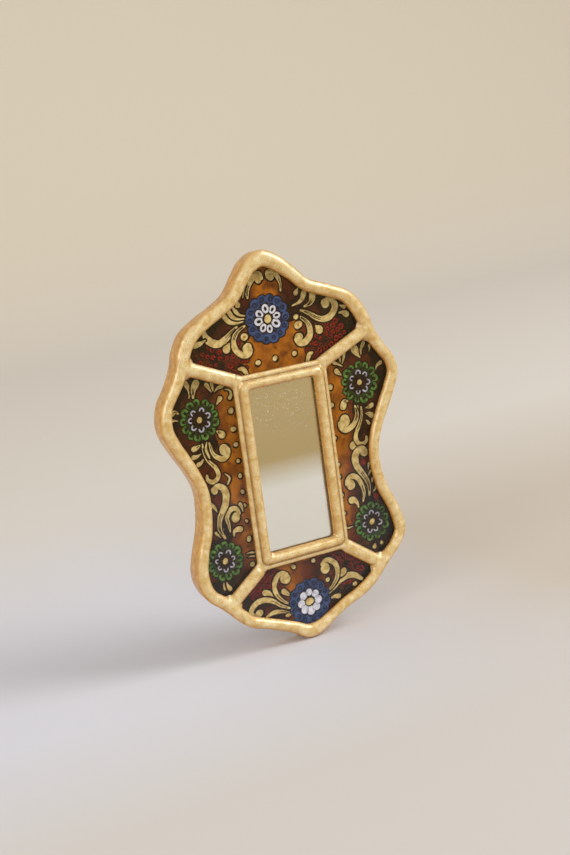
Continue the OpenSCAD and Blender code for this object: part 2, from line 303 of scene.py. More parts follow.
points = []
foot = []
for ring, (x, z, width) in enumerate(rim_path):
    for inset, depth in rim_section(width):
        place = (x + inset * inward[ring][0], depth, z + inset * inward[ring][1])
        front = depth < glass_depth
        if inset < width / 2:
            inset += bead_shake * (waver(place, 7, 1) + 1)
        else:
            inset += wall_shake * waver(place, 5, 2) * front
        depth += height_shake * (waver(place, 6, 3) + 1) * front
        points.append((x + inset * inward[ring][0], depth - rim_depth, z + inset * inward[ring][1]))
        # Darker at the inner feet next to the glass and towards the back of the wall: partly dirt, partly
        # painted shade.
        inner = max(0, 1 - (glass_depth - depth) / foot_reach) if front and inset > width / 2 else 0
        outer = back_share * max(0, 1 - (rim_depth - depth) / back_reach)
        foot.append(patchy(max(inner, outer), place, 4))
count = len(rim_section(5))
rings = len(rim_path)
faces = tube_faces(rings, count, closed=True)
rim = add_piece("rim", points, faces, foot)
rim.data.materials.append(gold)
rim.data.materials.append(bare_wood())
# Bare wood shows on the back and in the pocket.
behind = [all(points[v][1] > -bare_zone for v in face) for face in faces]
rim.data.polygons.foreach_set(
    "material_index", [int(b or k % count > count - 3) for k, b in enumerate(behind)])
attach(rim, "frame")
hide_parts("outer_rim")

# Mirror frame: four mitred rails with a high bead next to the mirror and a low one outside it.
# The gesso fills their corners, so the mirror's visible corners are a little round.
sight = [15.2, 34.2]
high_bead, high_rise = 4.4, 2.9
low_bead_from, low_rise = 3.4, 1.2
frame_width = 6.4
tongue_in, tongue_out = 1.8, 4.6
board_front = 4.6
corner_round, round_growth = 1.5, 0.35
bead_fillet = 0.7
bead_steps, turn_steps, length_points = 20, 6, 49
sight_edge, outer_edge, edge_shake = 0.5, 6, 0.1
shrink = 0.03
# The first and last numbers here set the darkening low near the feet and in the groove, partly dirt and
# partly painted shade.
dark_foot_height = 0.6
groove_width, groove_dirt_and_shade = 0.4, 1.2


def arch(a, width, height):
    """Height of a half-ellipse at a, falling away past its feet."""
    share = 2 * a / width - 1
    return height * math.sqrt(1 - share * share) if abs(share) < 1 else -1.5 * (abs(share) - 1) * width / 2


def joined(a, b, fillet):
    """The greater of two heights, with a fillet where they meet."""
    near = max(fillet - abs(a - b), 0) / fillet
    return max(a, b) + near * near * fillet / 4


def frame_height(a):
    """Height of a rail's two beads at a, which is measured out from the mirror."""
    low = arch(a - low_bead_from, frame_width - low_bead_from, low_rise)
    return joined(arch(a, high_bead, high_rise), low, bead_fillet)


def rail(name, turn, node):
    """A rail, worked out as the top one and turned clockwise by quarters of a circle."""
    across, length = (sight[1], sight[0]) if turn % 2 == 0 else sight
    steps = sorted({round(w / 2 - w / 2 * math.cos(math.pi * k / bead_steps), 3) + start
                    for start, w in ((0, high_bead), (low_bead_from, frame_width - low_bead_from))
                    for k in range(bead_steps + 1)})
    lines = [[a, None] for a in steps]
    under, deep = glass_depth - foot_gap, board_front - foot_gap
    tongue = [[frame_width, under], [tongue_out, under], [tongue_out, deep], [tongue_in, deep],
              [tongue_in, under], [0, under]]
    part = 45 / turn_steps
    columns = [(-1, 45 + part * k) for k in range(turn_steps)]
    columns += [(s, None) for s in np.linspace(-1, 1, length_points)]
    columns += [(1, 90 - part * (k + 1)) for k in range(turn_steps)]
    points = []
    foot = []
    for side, angle in columns:
        for a, depth in lines + tongue:
            bend = corner_round + round_growth * a
            end = length + a - bend
            if angle is None:
                place = (side * end, across + a)
            else:
                place = (side * (end + bend * math.cos(math.radians(angle))),
                         across + a - bend + bend * math.sin(math.radians(angle)))
            for _ in range(turn):
                place = (place[1], -place[0])
            spot = (place[0], 0, place[1])
            height = 0
            if depth is None:
                height = max(frame_height(a), foot_gap)
                height *= 1 - shrink * (waver(spot, 7, 5) + 1)
                depth = glass_depth - height
            shake = edge_shake * waver(spot, 5, 6) * (a < sight_edge or a > outer_edge)
            points.append((place[0] + shake, depth - rim_depth, place[1] + shake))
            # Darker in the groove between the beads and low near the outer feet: partly dirt, partly painted
            # shade.
            groove = max(0, groove_dirt_and_shade - abs(a - high_bead) / groove_width)
            edge = min(1, max(groove, 1 - height / dark_foot_height if a > outer_edge else 0))
            foot.append(patchy(edge, spot, 7))
    piece = add_piece(name, points, tube_faces(len(columns), len(lines) + len(tongue)), foot)
    piece.data.materials.append(gold)
    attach(piece, "frame")
    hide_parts(node)


rail("top_rail", 0, "rail_top")
rail("right_rail", 1, "rail_right")
rail("bottom_rail", 2, "rail_bottom")
rail("left_rail", 3, "rail_left")

# Spokes: four half-round mouldings from the frame's corners to the rim, which part the painted
# panels. Gesso fillets run out from them over the rim and the frame, under the same gilding.
spoke_width = 5.6
spoke_rise = 2.1
spoke_ends = {
    "top_left": ([-21, 39.4], [-42.4, 49]), "top_right": ([21, 39.4], [42.4, 49]),
    "bottom_left": ([-21.3, -40.4], [-34.2, -50]), "bottom_right": ([21.3, -40.4], [34.2, -50])}
spoke_bury, spoke_reach = 3.6, 2.2
tongue_half = 0.9
rim_fillet, rim_crest = 4.5, 2.9
frame_fillet, frame_crest = 3, 3.2
corner_fillet = 2.6
end_slope = 0.8
foot_inset, foot_step, foot_limit = 0.2, 0.06, 6
spoke_points, arch_steps = 72, 24
# The second number is how dark a spoke gets low near its feet, partly dirt and partly painted shade.
spoke_sink, spoke_foot_darkening = 0.02, 0.9


def rim_height(place):
    """Height of the rim's bead at a place."""
    near = np.argmin(np.hypot(rim_path[:, 0] - place[0], rim_path[:, 1] - place[1]))
    inset = float(np.dot(place - rim_path[near, :2], inward[near]))
    return arch(inset, rim_path[near, 2], glass_depth)


def gesso_join(a, b, fillet, crest):
    """The greater of two heights, with a fillet that is wide at their feet and ends at the crest."""
    return joined(a, b, fillet * max(0.1, 1 - max(a, b) / crest))


def gold_height(place, v, past):
    """Height of the gilded surface at a place that is v away from a spoke's middle line. The spoke
    sinks into the other mouldings where it runs past its ends."""
    spoke = arch(v + spoke_width / 2, spoke_width, spoke_rise) - end_slope * past
    out = joined(abs(place[0]) - sight[0], abs(place[1]) - sight[1], corner_fillet)
    spoke = gesso_join(spoke, rim_height(place), rim_fillet, rim_crest)
    return gesso_join(spoke, frame_height(out), frame_fillet, frame_crest)


for corner, (start, end) in spoke_ends.items():
    start, end = np.array(start), np.array(end)
    length = np.linalg.norm(end - start)
    along = (end - start) / length
    aside = np.array([-along[1], along[0]])
    points = []
    foot = []
    places = np.linspace(-spoke_bury, length + spoke_reach, spoke_points)
    shares = [math.cos(math.pi * k / arch_steps) for k in range(arch_steps + 1)]
    for u in places:
        middle = start + u * along
        past = max(0, -u, u - length)
        feet = []
        for side in (1, -1):
            v = spoke_width / 2 - foot_inset
            while v < foot_limit and gold_height(middle + side * v * aside, side * v, past) > foot_gap:
                v += foot_step
            feet.append(side * v)
        for share in shares:
            v = (feet[0] + feet[1]) / 2 + share * (feet[0] - feet[1]) / 2
            place = middle + v * aside
            height = max(gold_height(place, v, past), foot_gap)
            hand = waver((place[0], 0, place[1]), 6, 8)
            height = max(height * (1 - shrink * (hand + 1)) - spoke_sink, foot_gap)
            points.append((place[0], glass_depth - height - rim_depth, place[1]))
            # Darker low near the feet: partly dirt, partly painted shade.
            foot.append(max(0, 1 - height / dark_foot_height) * spoke_foot_darkening)
        for side, depth in ((-1, glass_depth), (-1, board_front), (1, board_front), (1, glass_depth)):
            place = middle + side * tongue_half * aside
            points.append((place[0], depth - foot_gap - rim_depth, place[1]))
            foot.append(1)
    faces = [(face[0], *face[:0:-1]) for face in tube_faces(len(places), len(shares) + 4)]
    spoke = add_piece("spoke_" + corner + "_gilded", points, faces, foot)
    spoke.data.materials.append(gold)
    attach(spoke, "frame")
    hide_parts("spoke_" + corner)

# Mirror: a plain cut piece of glass with a silvered back, which has gone a little cloudy with fine
# pale specks towards the top. The silver lies close behind the glass and is backed with paint.
glass_thick = 2
glass_back = glass_depth + glass_thick
coat_gap, coat_thick = 0.02, 0.16
coat_y = glass_back - rim_depth + coat_gap
mirror_lap = 1.65
mirror_half = [sight[0] + mirror_lap, sight[1] + mirror_lap]


def clear_glass(name, bend):
    """Picture glass. Lamps shine straight through it onto what lies behind. Paint and silver lie so
    close to its back that only its front shines, so both faces together shine as one would."""
    look = Look(name)
    look.shade(Base_Color=colour(0.995, 1, 0.995), Roughness=0, IOR=bend, Transmission_Weight=1)
    lamp_only = look.add("ShaderNodeLightPath").outputs["Is Shadow Ray"]
    through = look.made("ShaderNodeBsdfTransparent")
    choice = look.add("ShaderNodeMixShader")
    for socket, value in zip(choice.inputs, (lamp_only, look.shader.outputs[0], through)):
        look.give(socket, value)
    look.fill(look.tree.nodes["Material Output"], Surface=choice.outputs[0])
    return look.material


glass = clear_glass("clear_glass", 1.33)


def finish_node(node, material):
    """Gives a CAD node that keeps its shape its material."""
    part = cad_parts[node]
    part.data.materials.clear()
    part.data.materials.append(material)


finish_node("mirror_glass", clear_glass("plate_glass", 1.9))

silver_look = Look("silver")
cloud = silver_look.math("MULTIPLY", silver_look.span(silver_look.along("Z"), 0.008, 0.03),
                         silver_look.patches(1700, 2, 0.64, 0.69))
silver_look.shade(Base_Color=silver_look.blend(cloud, (0.99, 0.985, 0.965), (0.97, 0.93, 0.84)),
                  Roughness=silver_look.span(cloud, 0, 1, 0.02, 0.5),
                  Metallic=silver_look.span(cloud, 0, 1, 1, 0))
backing = Look("backing_paint")
stains = backing.patches(300, 4, 0.35, 0.65)
backing.shade(Base_Color=backing.blend(stains, (0.3, 0.2, 0.15), (0.24, 0.16, 0.12)), Roughness=0.7)


def flat_box(half_x, half_z, front, back):
    """Points and faces of a thin sheet, its front face first."""
    corners = [(-half_x, -half_z), (half_x, -half_z), (half_x, half_z), (-half_x, half_z)]
    points = [(x, front, z) for x, z in corners] + [(x, back, z) for x, z in corners]
    sides = [(k, k + 4, (k + 1) % 4 + 4, (k + 1) % 4) for k in range(4)]
    return points, [(0, 1, 2, 3), (7, 6, 5, 4)] + sides


silver = add_piece("silvering", *flat_box(*mirror_half, coat_y, coat_y + coat_thick), smooth=False)
silver.data.materials.append(silver_look.material)
silver.data.materials.append(backing.material)
silver.data.polygons.foreach_set("material_index", [0] + [1] * 5)
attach(silver, "frame")
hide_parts("mirror_silvering")

# Panels: four pieces of clear glass, painted on their backs. The flowers, scrolls and dots were
# painted first, with their dark outlines, then the amber grounds, and a dark coat closes the back,
# so each later layer lies further behind the glass.
ground_depth = glass_back + 0.1
layer = 0.00025
mark_sink = 0.02
line_edge = 0.65
split_half, split_aside, split_width = 0.17, 0.3, 2.4
stroke_steps = 7
loop_press = 0.8
for side in ("top", "bottom", "left", "right"):
    finish_node("glass_" + side, glass)


def ground_paint():
    """The last coats: amber along the mirror frame and up the middle, brown at its soft edge, then
    maroon that is nearly black in places."""
    look = Look("ground_coats")
    height = look.along("Z")
    ramp = look.add("ShaderNodeValToRGB", Fac=look.span(height, -0.1, 0.1))
    stops = ramp.color_ramp.elements
    # Each row is a height and how far from the middle the amber reaches there, in millimetres.
    reaches = [[-62, 2], [-50, 4], [-42, 6], [-39, 22], [-33, 26.5], [-25, 27.5], [-18, 26.5],
               [-10, 28], [-4, 29.5], [3, 31], [12, 32], [20, 30], [30, 29.5], [37, 28], [41, 16],
               [48, 14.5], [57, 13], [64, 5], [74, 8], [84, 4]]
    while len(stops) < len(reaches):
        stops.new(0.5)
    for stop, (z, reach) in zip(stops, reaches):
        stop.position = (z + 100) / 200
        stop.color = [reach / 50] * 3 + [1]
    # Below the mirror the amber lies left of the middle.
    moved = look.math("ADD", look.along("X"), look.span(height, -0.042, -0.039, 0.006, 0))
    apart = look.span(look.math("ABSOLUTE", moved), 0, 0.05)
    inside = look.math("SUBTRACT", ramp.outputs["Color"], apart)
    hand = look.math("ADD", inside, look.patches(130, 4, 0, 1, -0.12, 0.12))
    dark = look.blend(look.patches(110, 3, 0.4, 0.6), (0.16, 0.09, 0.06), (0.36, 0.14, 0.08))
    dark = look.blend(look.span(hand, -0.2, -0.34), dark, (0.14, 0.1, 0.06))
    brown = look.blend(look.span(hand, -0.06, 0), dark, (0.4, 0.19, 0.08))
    amber = look.blend(look.patches(160, 4, 0.38, 0.62), (0.68, 0.4, 0.1), (0.47, 0.25, 0.06))
    tone = look.blend(look.span(hand, 0, 0.05), brown, amber)
    tone = look.blend(look.patches(260, 3, 0.56, 0.72), tone, (0.36, 0.17, 0.07))
    look.shade(Base_Color=tone, Roughness=0.6, Specular_IOR_Level=0)
    return look.material


def paint(name, first, second, size, metallic=0):
    """Brush paint in two shades that change along the strokes. It has no shine of its own, as the
    glass touches it."""
    look = Look(name)
    look.shade(Base_Color=look.blend(look.patches(size, 4, 0.38, 0.62), first, second),
               Metallic=metallic, Roughness=0.6, Specular_IOR_Level=0)
    return look.material


paints = {
    "coat": ground_paint(),
    "line": paint("outline", (0.12, 0.08, 0.05), (0.17, 0.1, 0.06), 600),
    "leaf": paint("painted_gold", (0.85, 0.75, 0.51), (0.7, 0.57, 0.33), 520, 0.1),
    "amber": paint("amber_touch", (0.72, 0.48, 0.2), (0.6, 0.36, 0.13), 420),
    "blue": paint("blue", (0.24, 0.31, 0.47), (0.16, 0.21, 0.33), 360),
    "deep_blue": paint("deep_blue", (0.09, 0.1, 0.14), (0.12, 0.14, 0.21), 420),
    "green": paint("green", (0.38, 0.54, 0.24), (0.19, 0.3, 0.13), 500),
    "deep_green": paint("deep_green", (0.18, 0.25, 0.11), (0.13, 0.17, 0.08), 420),
    "red": paint("red", (0.56, 0.13, 0.09), (0.4, 0.1, 0.07), 300),
    "white": paint("white", (0.86, 0.84, 0.86), (0.74, 0.73, 0.77), 500),
    "lilac": paint("lilac", (0.74, 0.71, 0.76), (0.56, 0.54, 0.58), 500)}
paint_names = list(paints)


def new_tree(name, inputs):
    """A Geometry Nodes tree with the inputs given, each a name and a kind."""
    tree = bpy.data.node_groups.new(name, "GeometryNodeTree")
    for label, kind in (("Geometry", "Geometry"), *inputs):
        tree.interface.new_socket(label, in_out="INPUT", socket_type="NodeSocket" + kind)
    tree.interface.new_socket("Geometry", in_out="OUTPUT", socket_type="NodeSocketGeometry")
    return Nodes(tree)


def end_tree(net, geometry, material):
    real = net.made("GeometryNodeRealizeInstances", Geometry=geometry)
    done = net.made("GeometryNodeSetMaterial", Geometry=real, Material=material)
    net.give(net.add("NodeGroupOutput").inputs[0], done)
    return net.tree


def petal_tree():
    """Nodes that lay a loop of paint on each point, turned and sized by the point. A loop may be
    open on the side that is next to the centre."""
    names = ("Petal length", "Petal width", "Line width", "Opening", "Flatness")
    net = new_tree("petals", [(name, "Float") for name in names] + [("Paint", "Material")])
    given = net.add("NodeGroupInput").outputs
    length, width, line, gap = [net.math("MULTIPLY", given[name], 0.5) for name in names[:4]]
    ring = net.made("GeometryNodeCurvePrimitiveCircle", Resolution=20, Radius=1)
    turned = net.made("GeometryNodeTransform", Geometry=ring, Rotation=(0, 0, -math.pi / 2))
    opened = net.made("GeometryNodeTrimCurve", Curve=turned, Start=gap, End=net.math("SUBTRACT", 1, gap))
    shape = net.made("ShaderNodeCombineXYZ", X=width, Y=length, Z=1)
    petal = net.made("GeometryNodeTransform", Geometry=opened, Scale=shape)
    brush = net.made("GeometryNodeCurvePrimitiveCircle", Resolution=6, Radius=line)
    stroke = net.made("GeometryNodeCurveToMesh", Curve=petal, Profile_Curve=brush, Fill_Caps=True)
    press = net.made("ShaderNodeCombineXYZ", X=1, Y=1, Z=given["Flatness"])
    flat = net.made("GeometryNodeTransform", Geometry=stroke, Scale=press)
    turn, size = [net.made("GeometryNodeInputNamedAttribute", Name=name) for name in ("turn", "size")]
    upright = net.made("ShaderNodeCombineXYZ", X=math.pi / 2, Y=turn, Z=0)
    laid = net.made("GeometryNodeInstanceOnPoints", Points=given["Geometry"], Instance=flat,
                    Rotation=upright, Scale=size)
    return end_tree(net, laid, given["Paint"])


def grown(mesh, tree, given):
    """The mesh that a node tree makes out of another one."""
    maker = add_object("maker", mesh)
    modifier = maker.modifiers.new("maker", "NODES")
    modifier.node_group = tree
    for item in tree.interface.items_tree:
        if item.in_out == "INPUT" and item.name in given:
            modifier[item.identifier] = given[item.name]
    seen = maker.evaluated_get(bpy.context.evaluated_depsgraph_get())
    made = bpy.data.meshes.new_from_object(seen)
    bpy.data.objects.remove(maker)
    return made


petals = petal_tree()


class Picture:
    """The painting on one panel. Marks are drawn in millimetres, and each one goes in front of the
    marks before it."""

    def __init__(self, seed):
        self.points = []
        self.faces = []
        self.tints = []
        self.marks = 0
        self.hand = random.Random(seed)

    def depth(self):
        """Where the front of the next mark lies."""
        return ground_depth - layer * self.marks - rim_depth

    def add(self, points, faces, tint):
        first = len(self.points)
        self.points += points
        self.faces += [tuple(first + v for v in face) for face in faces]
        self.tints += [paint_names.index(tint)] * len(faces)

    def mark(self, left, right, tint):
        """A flat patch of paint between two edges, as thick as the layers behind it."""
        self.marks += 1
        n = len(left)
        points = [(x, y, z) for y in (self.depth(), ground_depth + mark_sink - rim_depth)
                  for x, z in left + right]
        quads = []
        for k in range(n - 1):
            quads += [(k, n + k, n + k + 1, k + 1), (2 * n + k, 2 * n + k + 1, 3 * n + k + 1, 3 * n + k),
                      (k, k + 1, 2 * n + k + 1, 2 * n + k), (n + k, 3 * n + k, 3 * n + k + 1, n + k + 1)]
        quads += [(0, 2 * n, 3 * n, n), (n - 1, 2 * n - 1, 4 * n - 1, 3 * n - 1)]
        self.add(points, quads, tint)

    def band(self, spine, tint, wide=0, shake=0.0):
        """Paint along a spine whose points are [x, z, half width], with round ends."""
        spine = np.array(spine, float)
        spine[:, 2] += wide
        ahead = np.gradient(spine[:, :2], axis=0)
        ahead /= np.linalg.norm(ahead, axis=1)[:, None] + 1e-9
        caps = [math.sin(math.radians(a)) for a in (80, 60, 40, 20)]

        def cap(end, way, share):
            half = spine[end, 2]
            return [*(spine[end, :2] + way * ahead[end] * half * share), half * math.sqrt(1 - share * share)]

        start = [cap(0, -1, share) for share in caps]
        stop = [cap(-1, 1, share) for share in caps[::-1]]
        ahead = np.vstack([[ahead[0]] * len(caps), ahead, [ahead[-1]] * len(caps)])
        spine = np.vstack([start, spine, stop])
        left, right = [], []
        for (x, z, w), (dx, dz) in zip(spine, ahead):
            ripple = [shake * waver((x, side * 9, z), 2.5, 11) for side in (1, -1)]
            left.append((x - dz * (w + ripple[0]), z + dx * (w + ripple[0])))
            right.append((x + dz * (w + ripple[1]), z - dx * (w + ripple[1])))
        self.mark(left, right, tint)

    def spot(self, x, z, radius, tint, wide=0):
        """A dab of paint, a little out of round."""
        lean = self.hand.uniform(0, math.pi)
        reach = radius * self.hand.uniform(0.1, 0.35)
        dx, dz = reach * math.cos(lean), reach * math.sin(lean)
        self.band([[x - dx, z - dz, radius], [x, z, radius], [x + dx, z + dz, radius * 0.9]], tint, wide)

    def dot(self, x, z, radius, heart=None):
        """A round dab of gold with a dark edge, and a touch of another colour in its middle."""
        self.spot(x + 0.15, z - 0.12, radius, "line", 0.6)
        self.spot(x, z, radius, "leaf")
        if heart:
            self.spot(x, z, radius * 0.35, heart)

    def stroke(self, points, swell, width, ball=None, streak=None):
        """A stroke of gold with a dark edge. swell gives its width along its way, and streak the
        part of the way where the brush split and a dark line shows."""
        path = smooth_path(points, stroke_steps)
        share = np.linspace(0, 1, len(path))
        wobble = 1 + 0.1 * np.array([waver((x, 0, z), 2, 12) for x, z in path])
        spine = np.column_stack([path, width / 2 * swell(share) * wobble])
        self.band(spine, "line", line_edge, 0.4)
        if ball:
            self.spot(*ball, "line", line_edge)
        self.band(spine, "leaf", 0, 0.1)
        if ball:
            self.spot(*ball, "leaf")
        for side in (-split_aside, split_aside) if width > split_width else (0,):
            split = spine[(share > streak[0]) & (share < streak[1])] if streak else []
            if len(split) > 2:
                ahead = np.gradient(split[:, :2], axis=0)
                aside = np.stack([-ahead[:, 1], ahead[:, 0]], 1) / np.linalg.norm(ahead, axis=1)[:, None]
                split[:, :2] += side * split[:, 2:] * aside
                split[:, 2] = split_half
                self.band(split, "line", 0, 0.12)

    def scroll(self, points, width, ball=None):
        """A scroll, which swells from its root and may end in a ball."""
        def swell(share):
            return np.where(share < 0.6, 0.3 + 0.7 * np.sin(share / 0.6 * math.pi / 2),
                            1 - 0.45 * ((share - 0.6) / 0.4) ** 2)
        self.stroke(points, swell, width, ball, (0.04, 0.34) if width > 1.5 else None)

    def spoon(self, points, width, vein=False):
        """A short leaf, thin at its root and round at its head."""
        self.stroke(points, lambda share: 0.25 + 0.75 * np.sin(share * math.pi / 2) ** 1.5, width, None,
                    (0.15, 0.6) if vein else None)

    def loops(self, x, z, ring, number, coats, inside=None, start=None, apart=False, opening=0,
              vary=0.13):
        """Loops of paint laid round a centre. Each coat is a tint and a loop's length, width and line
        width. Coats go on one after the other, or loop by loop where the loops stay apart."""
        turns, sizes, places = [], [], []
        offset = self.hand.uniform(0, math.pi) if start is None else start
        for k in range(number):
            angle = offset + 2 * math.pi * (k + self.hand.uniform(-0.1, 0.1)) / number
            place = (x + ring * math.cos(angle), z + ring * math.sin(angle))
            if not inside or inside(*place):
                places.append(place)
                turns.append(math.pi / 2 - angle + self.hand.uniform(-0.15, 0.15))
                sizes.append(self.hand.uniform(1 - vary, 1 + vary))
        for coat, (tint, length, width, line) in enumerate(coats):
            mesh = bpy.data.meshes.new("loop points")
            first_depth = self.depth() - layer * (coat if apart else coat * len(places))
            step = layer * (len(coats) if apart else 1)
            spots = [(px, first_depth - step * k, pz) for k, (px, pz) in enumerate(places)]
            mesh.from_pydata(spots, [], [])
            set_values(mesh, turn=turns, size=sizes)
            made = grown(mesh, petals, {
                "Petal length": length, "Petal width": width, "Line width": line,
                "Opening": opening, "Flatness": loop_press * layer / line, "Paint": paints[tint]})
            self.add([tuple(v.co) for v in made.vertices], [face.vertices[:] for face in made.polygons],
                     tint)
            bpy.data.meshes.remove(made)
        self.marks += len(places) * len(coats) + 1

    def blue_flower(self, x, z, radius, filled=False):
        """Two rings of blue lobes round a flower with white petals."""
        unit = radius / 10
        self.spot(x, z, radius * 0.72, "line")
        for ring, length, width, line in ((6, 1.5, 1.8, 1.3), (7.9, 2.1, 2.3, 1.7)):
            sides = length * unit, width * unit
            start = self.hand.uniform(0, 3)
            coats = [("line", *sides, line * unit + 1), ("blue", *sides, line * unit)]
            self.loops(x, z, ring * unit, 14, coats, start=start)
            inner = [("deep_blue", 0.8 * length * unit, 0.65 * width * unit, 0.5)]
            self.loops(x, z, ring * unit, 14, inner, start=start)
        self.spot(x, z, 4.6 * unit, "line")
        if filled:
            self.loops(x, z, 4 * unit, 8, [("line", 1.8 * unit, 1.6 * unit, 2 * unit),
                                           ("white", 1.8 * unit, 1.6 * unit, 1.65 * unit)], apart=True)
            self.loops(x, z, 3.9 * unit, 8, [("lilac", 1 * unit, 0.7 * unit, 0.5 * unit)])
        else:
            self.loops(x, z, 4.1 * unit, 8, [("line", 2.8 * unit, 2.1 * unit, 1.7 * unit),
                                             ("white", 2.8 * unit, 2.1 * unit, 0.9 * unit)], apart=True)
        self.spot(x, z, 1.5 * unit, "line", 0.25 if filled else 0.7)
        self.spot(x, z, 1.5 * unit, "leaf")

    def green_flower(self, x, z, radius):
        """A ring of green loops round small pale hooks."""
        unit = radius / 8.7
        self.spot(x, z, radius * 0.76, "line")
        self.loops(x, z, 5 * unit, 11, [("deep_green", 1.9 * unit, 2 * unit, 0.9)], opening=0.35)
        outer = [("line", 2.5 * unit, 2.3 * unit, 2), ("green", 2.5 * unit, 2.3 * unit, 0.95)]
        self.loops(x, z, 6.9 * unit, 13, outer, apart=True, opening=0.3, vary=0.18)
        hooks = [("line", 2 * unit, 1.8 * unit, 1.3), ("lilac", 2 * unit, 1.8 * unit, 0.6)]
        self.loops(x, z, 3.8 * unit, 7, hooks, apart=True, opening=0.38)
        self.spot(x, z, 1.1, "line", 0.6)
        self.spot(x, z, 1.1, "leaf")

    def red_flower(self, x, z, radius, inside):
        """Rings of small dark red loops, partly hidden by the spoke."""
        coats = [("line", 1.6, 1.4, 1.5), ("red", 1.6, 1.4, 0.65)]
        for share, number in ((0.35, 6), (0.62, 10), (0.88, 15), (1.14, 18)):
            self.loops(x, z, radius * share, number, coats, inside, apart=True, opening=0.15, vary=0.25)

    def finish(self, side, shift=(0.65, -0.34)):
        """Makes the panel's piece: the coat as the CAD node has it, and the marks in front."""
        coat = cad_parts["paint_" + side].data
        first = len(self.points)
        low = ground_depth + 0.01 - rim_depth
        moved = [(x + shift[0], y, z + shift[1]) for x, y, z in self.points]
        moved += [(v.co.x / mm, max(v.co.y / mm, low), v.co.z / mm) for v in coat.vertices]
        faces = self.faces + [tuple(first + v for v in face.vertices) for face in coat.polygons]
        piece = add_piece("painting_" + side, moved, faces, smooth=False)
        for name in paint_names:
            piece.data.materials.append(paints[name])
        tints = self.tints + [0] * len(coat.polygons)
        piece.data.polygons.foreach_set("material_index", tints)
        shape = bmesh.new()
        shape.from_mesh(piece.data)
        bmesh.ops.remove_doubles(shape, verts=[v for v in shape.verts if v.index >= first], dist=1e-7)
        bmesh.ops.recalc_face_normals(shape, faces=shape.faces)
        shape.to_mesh(piece.data)
        shape.free()
        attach(piece, "frame")
        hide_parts("paint_" + side)


# Top panel: a blue rosette with a big scroll, a smaller one and a plume of strokes to each side, a
# curl on each side of the peak, three dots, and a dark red rosette in each lower corner.
top = Picture(1)


def above_spokes(x, z):
    return z > 40.5 + 0.43 * (abs(x) - 20)


top.red_flower(23.4, 47.6, 8, above_spokes)
top.red_flower(-24, 46.4, 9, above_spokes)
top.band([[6, 62, 4], [12, 61.6, 3], [17, 60.4, 1.6]], "line")
top.band([[-7, 62, 4], [-13, 62, 2.8], [-17, 61, 1.4]], "line")
top.spoon([(10, 64.6), (12.8, 65.2), (14.9, 66.7), (15.9, 68.8)], 2.3)
top.spoon([(15.5, 63.3), (17.9, 64), (19.3, 65.5), (19.9, 67.8)], 3.1, vein=True)
top.spoon([(13.4, 71), (12.2, 69.4)], 2.2)
top.scroll([(17.4, 58.6), (20.4, 56.7), (23, 56)], 1.3)
top.scroll([(13.5, 62), (17, 60.2), (20, 58), (23, 56.8), (26, 57), (28.6, 59), (29.6, 61.6), (28.4, 63.8),
            (26.2, 64.6)], 2.9, (25.1, 63, 1.9))
top.scroll([(12.6, 59.6), (14.8, 57.8), (16.3, 55.6), (16.7, 53), (15.9, 50.6), (13.6, 48.9), (11, 48.9),
            (9.6, 50.6)], 2.8, (11.2, 51.4, 1.7))
top.spoon([(19.6, 54.4), (20.3, 53.6), (20.9, 52.7)], 3.6)
top.spoon([(31.2, 58), (33, 57.8), (34.4, 56.8)], 2.6)
top.spoon([(31.9, 61), (32.8, 60.4), (33.8, 60)], 1.7)
top.dot(11, 59.8, 1)
top.dot(11.6, 56.4, 1.5, "amber")
top.spoon([(-11.8, 64.2), (-13.8, 64.8), (-15.3, 66.2), (-16, 68)], 1.8)
top.spoon([(-12.4, 63.1), (-15.2, 63.4), (-17.4, 64.8), (-18.6, 67)], 2)
top.spoon([(-13, 62), (-16.4, 62), (-19.2, 63.2), (-21, 65.6)], 2.1)
top.spoon([(-14.2, 70.6), (-14.2, 69)], 2.3)
top.scroll([(-16, 60.4), (-18.6, 58.6), (-21.4, 56.6), (-24.6, 55.2), (-27.8, 56.2), (-29.8, 58.4),
            (-30.6, 61)], 3.1)
top.scroll([(-12.4, 60.2), (-15.4, 58.9), (-17.7, 56.4), (-18.3, 53.4), (-17.4, 50.7), (-14.8, 48.7),
            (-12.2, 48.6), (-10.9, 50.2)], 2.5, (-12.6, 51.3, 1.9))
top.spoon([(-20.2, 54.4), (-21, 53.4), (-21.8, 52.4)], 3.1)
top.spoon([(-30.4, 57.6), (-32.6, 56.8), (-35.2, 56.4)], 2.4)
top.dot(-13.2, 55.9, 1.5, "amber")
top.scroll([(13.6, 39), (13.8, 41.4), (14.8, 43.4), (16.2, 44)], 1.9)
top.scroll([(-14.4, 38.6), (-14.4, 41), (-15.8, 43.2), (-17.6, 43.6)], 1.9)
top.scroll([(-9.5, 71), (-9.3, 74), (-7.8, 77), (-5.4, 79.3), (-3.2, 79.4), (-2.3, 77.8)], 3,
           (-3.7, 77.4, 1.3))
top.scroll([(5.6, 71.5), (5.8, 74.5), (4.9, 77.6), (3, 79.8), (0.8, 79.6), (0.4, 77.8)], 2.2,
           (1.8, 77.5, 1.3))
top.scroll([(-11.5, 71.5), (-10.8, 75.5), (-8.8, 79.5)], 1.7)
for x, z in ((-8.8, 44.5), (-0.9, 44.9), (8.2, 45.2)):
    top.dot(x, z, 1)
top.blue_flower(-1.8, 61.3, 10.2)
top.finish("top")

# Bottom panel: a blue rosette with white petals at the tip, two scrolls to each side of it, and a
# dark red rosette in each upper corner, painted on the back of the glass like the others.
bottom = Picture(2)


def below_spokes(x, z):
    return z < -41.5 - 0.66 * (abs(x) - 21)


